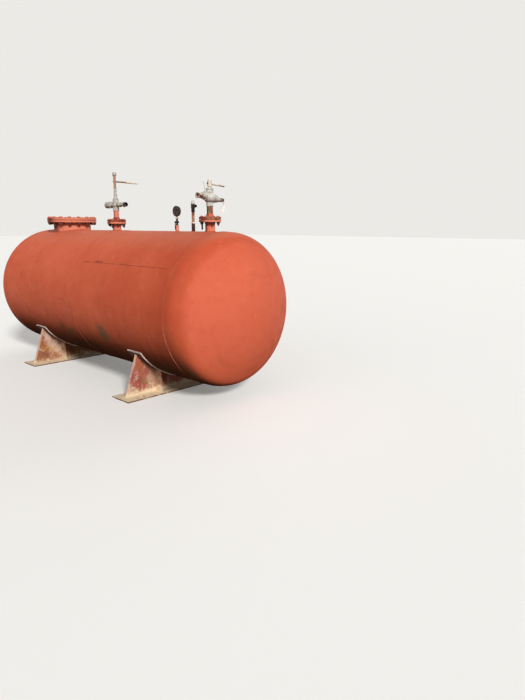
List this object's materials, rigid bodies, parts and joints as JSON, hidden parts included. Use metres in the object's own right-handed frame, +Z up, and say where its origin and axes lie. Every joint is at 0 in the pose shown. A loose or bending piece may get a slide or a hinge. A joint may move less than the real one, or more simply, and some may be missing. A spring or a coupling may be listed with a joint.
{
  "type": "horizontal pressure tank",
  "caption": "Horizontal steel pressure tank with dished ends on two plate saddles, with a bolted manway, flanged nozzles with valves, a gauge and a vent along its crown.",
  "frame": {"origin": "on the floor under the tank's middle girth weld, in the tank's middle plane", "axes": "+X along the tank towards the head nearest in the picture, +Y away from the picture's side, +Z up"},
  "size_m": [3.9206, 1.51, 2.146],
  "materials": {
    "tank_paint": "matte red oxide paint, sun bleached and dusty",
    "saddle_paint": "worn red oxide paint over rust, sandy at the foot",
    "valve_paint": "weathered grey white paint on cast metal",
    "rusty_steel": "rusted brown, matte",
    "dark_iron": "blackened, matte",
    "gasket_rubber": "matte black",
    "dial_face": "faded pale enamel",
    "cap_steel": "pale blue grey, satin"
  },
  "bodies": {
    "tank": {"shell_far": "tank_paint", "shell_near": "tank_paint", "head_far": "tank_paint", "head_near": "tank_paint", "manway_neck": "tank_paint", "manway_flange": "tank_paint", "manway_gasket": "gasket_rubber", "manway_cover": "tank_paint", "far_nozzle_neck": "tank_paint", "far_nozzle_flange": "tank_paint", "far_nozzle_gasket": "gasket_rubber", "far_valve_flange": "tank_paint", "far_valve_riser": "tank_paint", "far_valve_body": "valve_paint", "far_valve_bonnet": "valve_paint", "far_branch_cap": "valve_paint", "far_branch_socket": "dark_iron", "near_nozzle_neck": "tank_paint", "near_nozzle_flange": "tank_paint", "near_nozzle_gasket": "gasket_rubber", "near_valve_flange": "rusty_steel", "near_valve_riser": "rusty_steel", "near_valve_body": "valve_paint", "near_valve_bonnet": "valve_paint", "near_branch_pipe": "valve_paint", "near_branch_plug": "dark_iron", "gauge_stub": "tank_paint", "gauge_cock": "dark_iron", "gauge_case": "dark_iron", "gauge_dial": "dial_face", "vent_sleeve": "dark_iron", "vent_pipe": "rusty_steel", "vent_body": "dark_iron", "vent_cap": "cap_steel", "saddle_far_wear_plate": "saddle_paint", "saddle_far_web": "saddle_paint", "saddle_far_ribs": "saddle_paint", "saddle_far_base": "saddle_paint", "saddle_near_wear_plate": "saddle_paint", "saddle_near_web": "saddle_paint", "saddle_near_ribs": "saddle_paint", "saddle_near_base": "saddle_paint"},
    "near_handle": {"near_valve_spindle": "valve_paint", "near_valve_handle": "valve_paint"},
    "far_bar": {"far_valve_spindle": "rusty_steel", "far_valve_bar": "rusty_steel"}
  },
  "joints": [
    {"name": "near_handle_turn", "type": "hinge", "parent": "tank", "child": "near_handle", "pos_m": [1.375, 0, 1.924], "axis": [0, 0, 1], "range_deg": [-90, 0]},
    {"name": "far_bar_turn", "type": "hinge", "parent": "tank", "child": "far_bar", "pos_m": [-0.168, 0, 1.977], "axis": [0, 0, 1], "range_deg": [-90, 0]}
  ]
}
